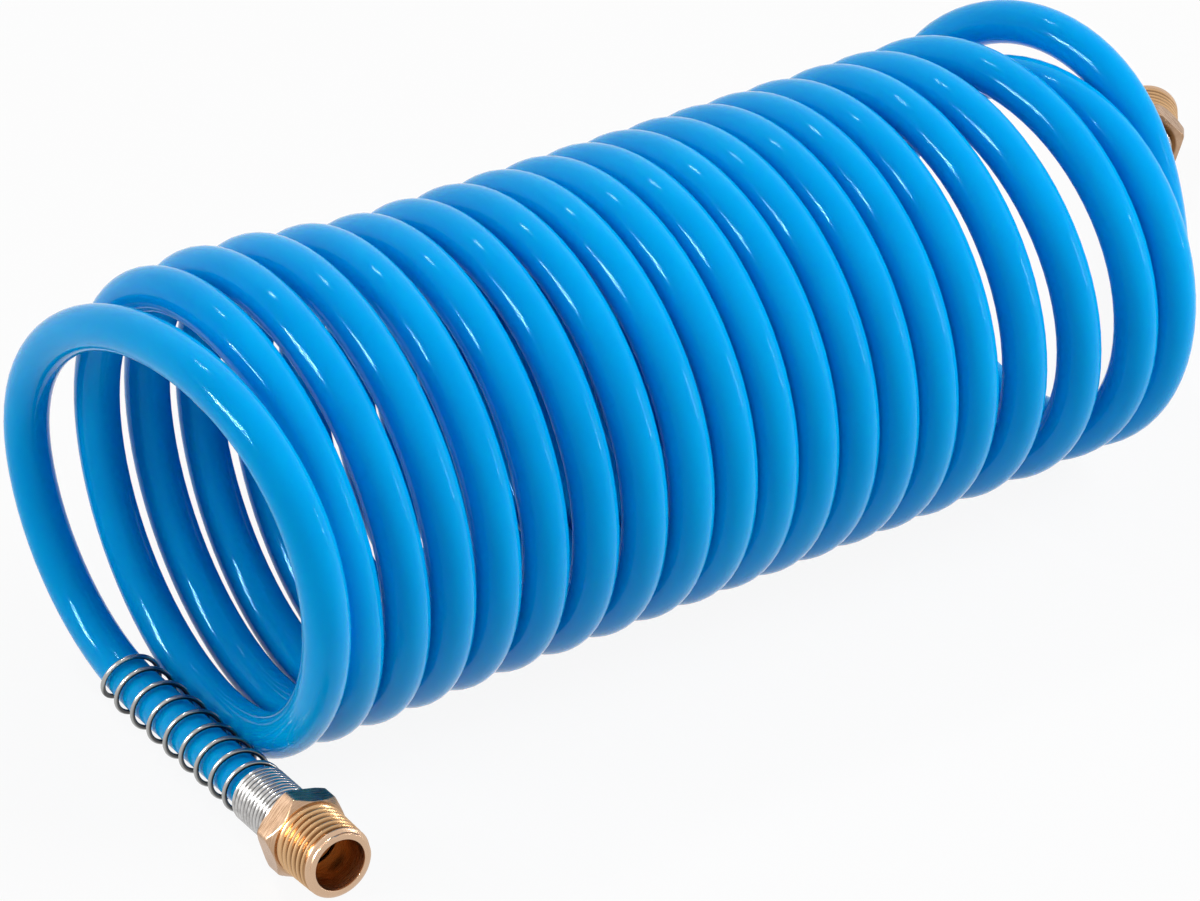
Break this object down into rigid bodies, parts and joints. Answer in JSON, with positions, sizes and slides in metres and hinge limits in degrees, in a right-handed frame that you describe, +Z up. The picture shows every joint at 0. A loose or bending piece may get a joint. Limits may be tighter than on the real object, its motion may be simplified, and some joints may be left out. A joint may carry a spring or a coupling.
{
  "type": "coiled air hose",
  "caption": "Self-coiling plastic air hose with a straight tail, wire spring guard and swivelling male threaded fitting at each end.",
  "frame": {"origin": "middle of the whole object's box, at floor level", "axes": "+X along the coil from the front turn to the rear turn, -Y the way the front tail leaves, +Z up"},
  "size_m": [0.2871, 0.1344, 0.0853],
  "materials": {
    "hose": "glossy blue polyurethane",
    "brass_body": "turned, bright",
    "brass_stem": "turned, bright",
    "seal": "matt",
    "sleeve": "plated",
    "guard_wire": "plated spring wire"
  },
  "bodies": {
    "front_end": {"hose_coil": "hose", "hose_tail_front": "hose", "crimp_sleeve_front": "sleeve", "swivel_stem_front": "brass_stem", "o_ring_front": "seal", "spring_guard_front": "guard_wire"},
    "front_fitting": {"threaded_body_front": "brass_body"},
    "rear_end": {"hose_tail_rear": "hose", "crimp_sleeve_rear": "sleeve", "swivel_stem_rear": "brass_stem", "o_ring_rear": "seal", "spring_guard_rear": "guard_wire"},
    "rear_fitting": {"threaded_body_rear": "brass_body"}
  },
  "joints": [
    {"name": "coil_stretch", "type": "slide", "parent": "front_end", "child": "rear_end", "axis": [1, 0, 0], "range_m": [0, 1], "stiffness_N_per_m": 4, "deforming": ["hose_coil"]},
    {"name": "front_swivel", "type": "hinge", "parent": "front_end", "child": "front_fitting", "pos_m": [-0.13575, -0.05307, 0.00783], "axis": [0, -0.999, 0.0453], "continuous": true},
    {"name": "rear_swivel", "type": "hinge", "parent": "rear_end", "child": "rear_fitting", "pos_m": [0.13043, 0.05297, 0.00783], "axis": [0.6423, 0.7655, 0.0383], "continuous": true}
  ]
}
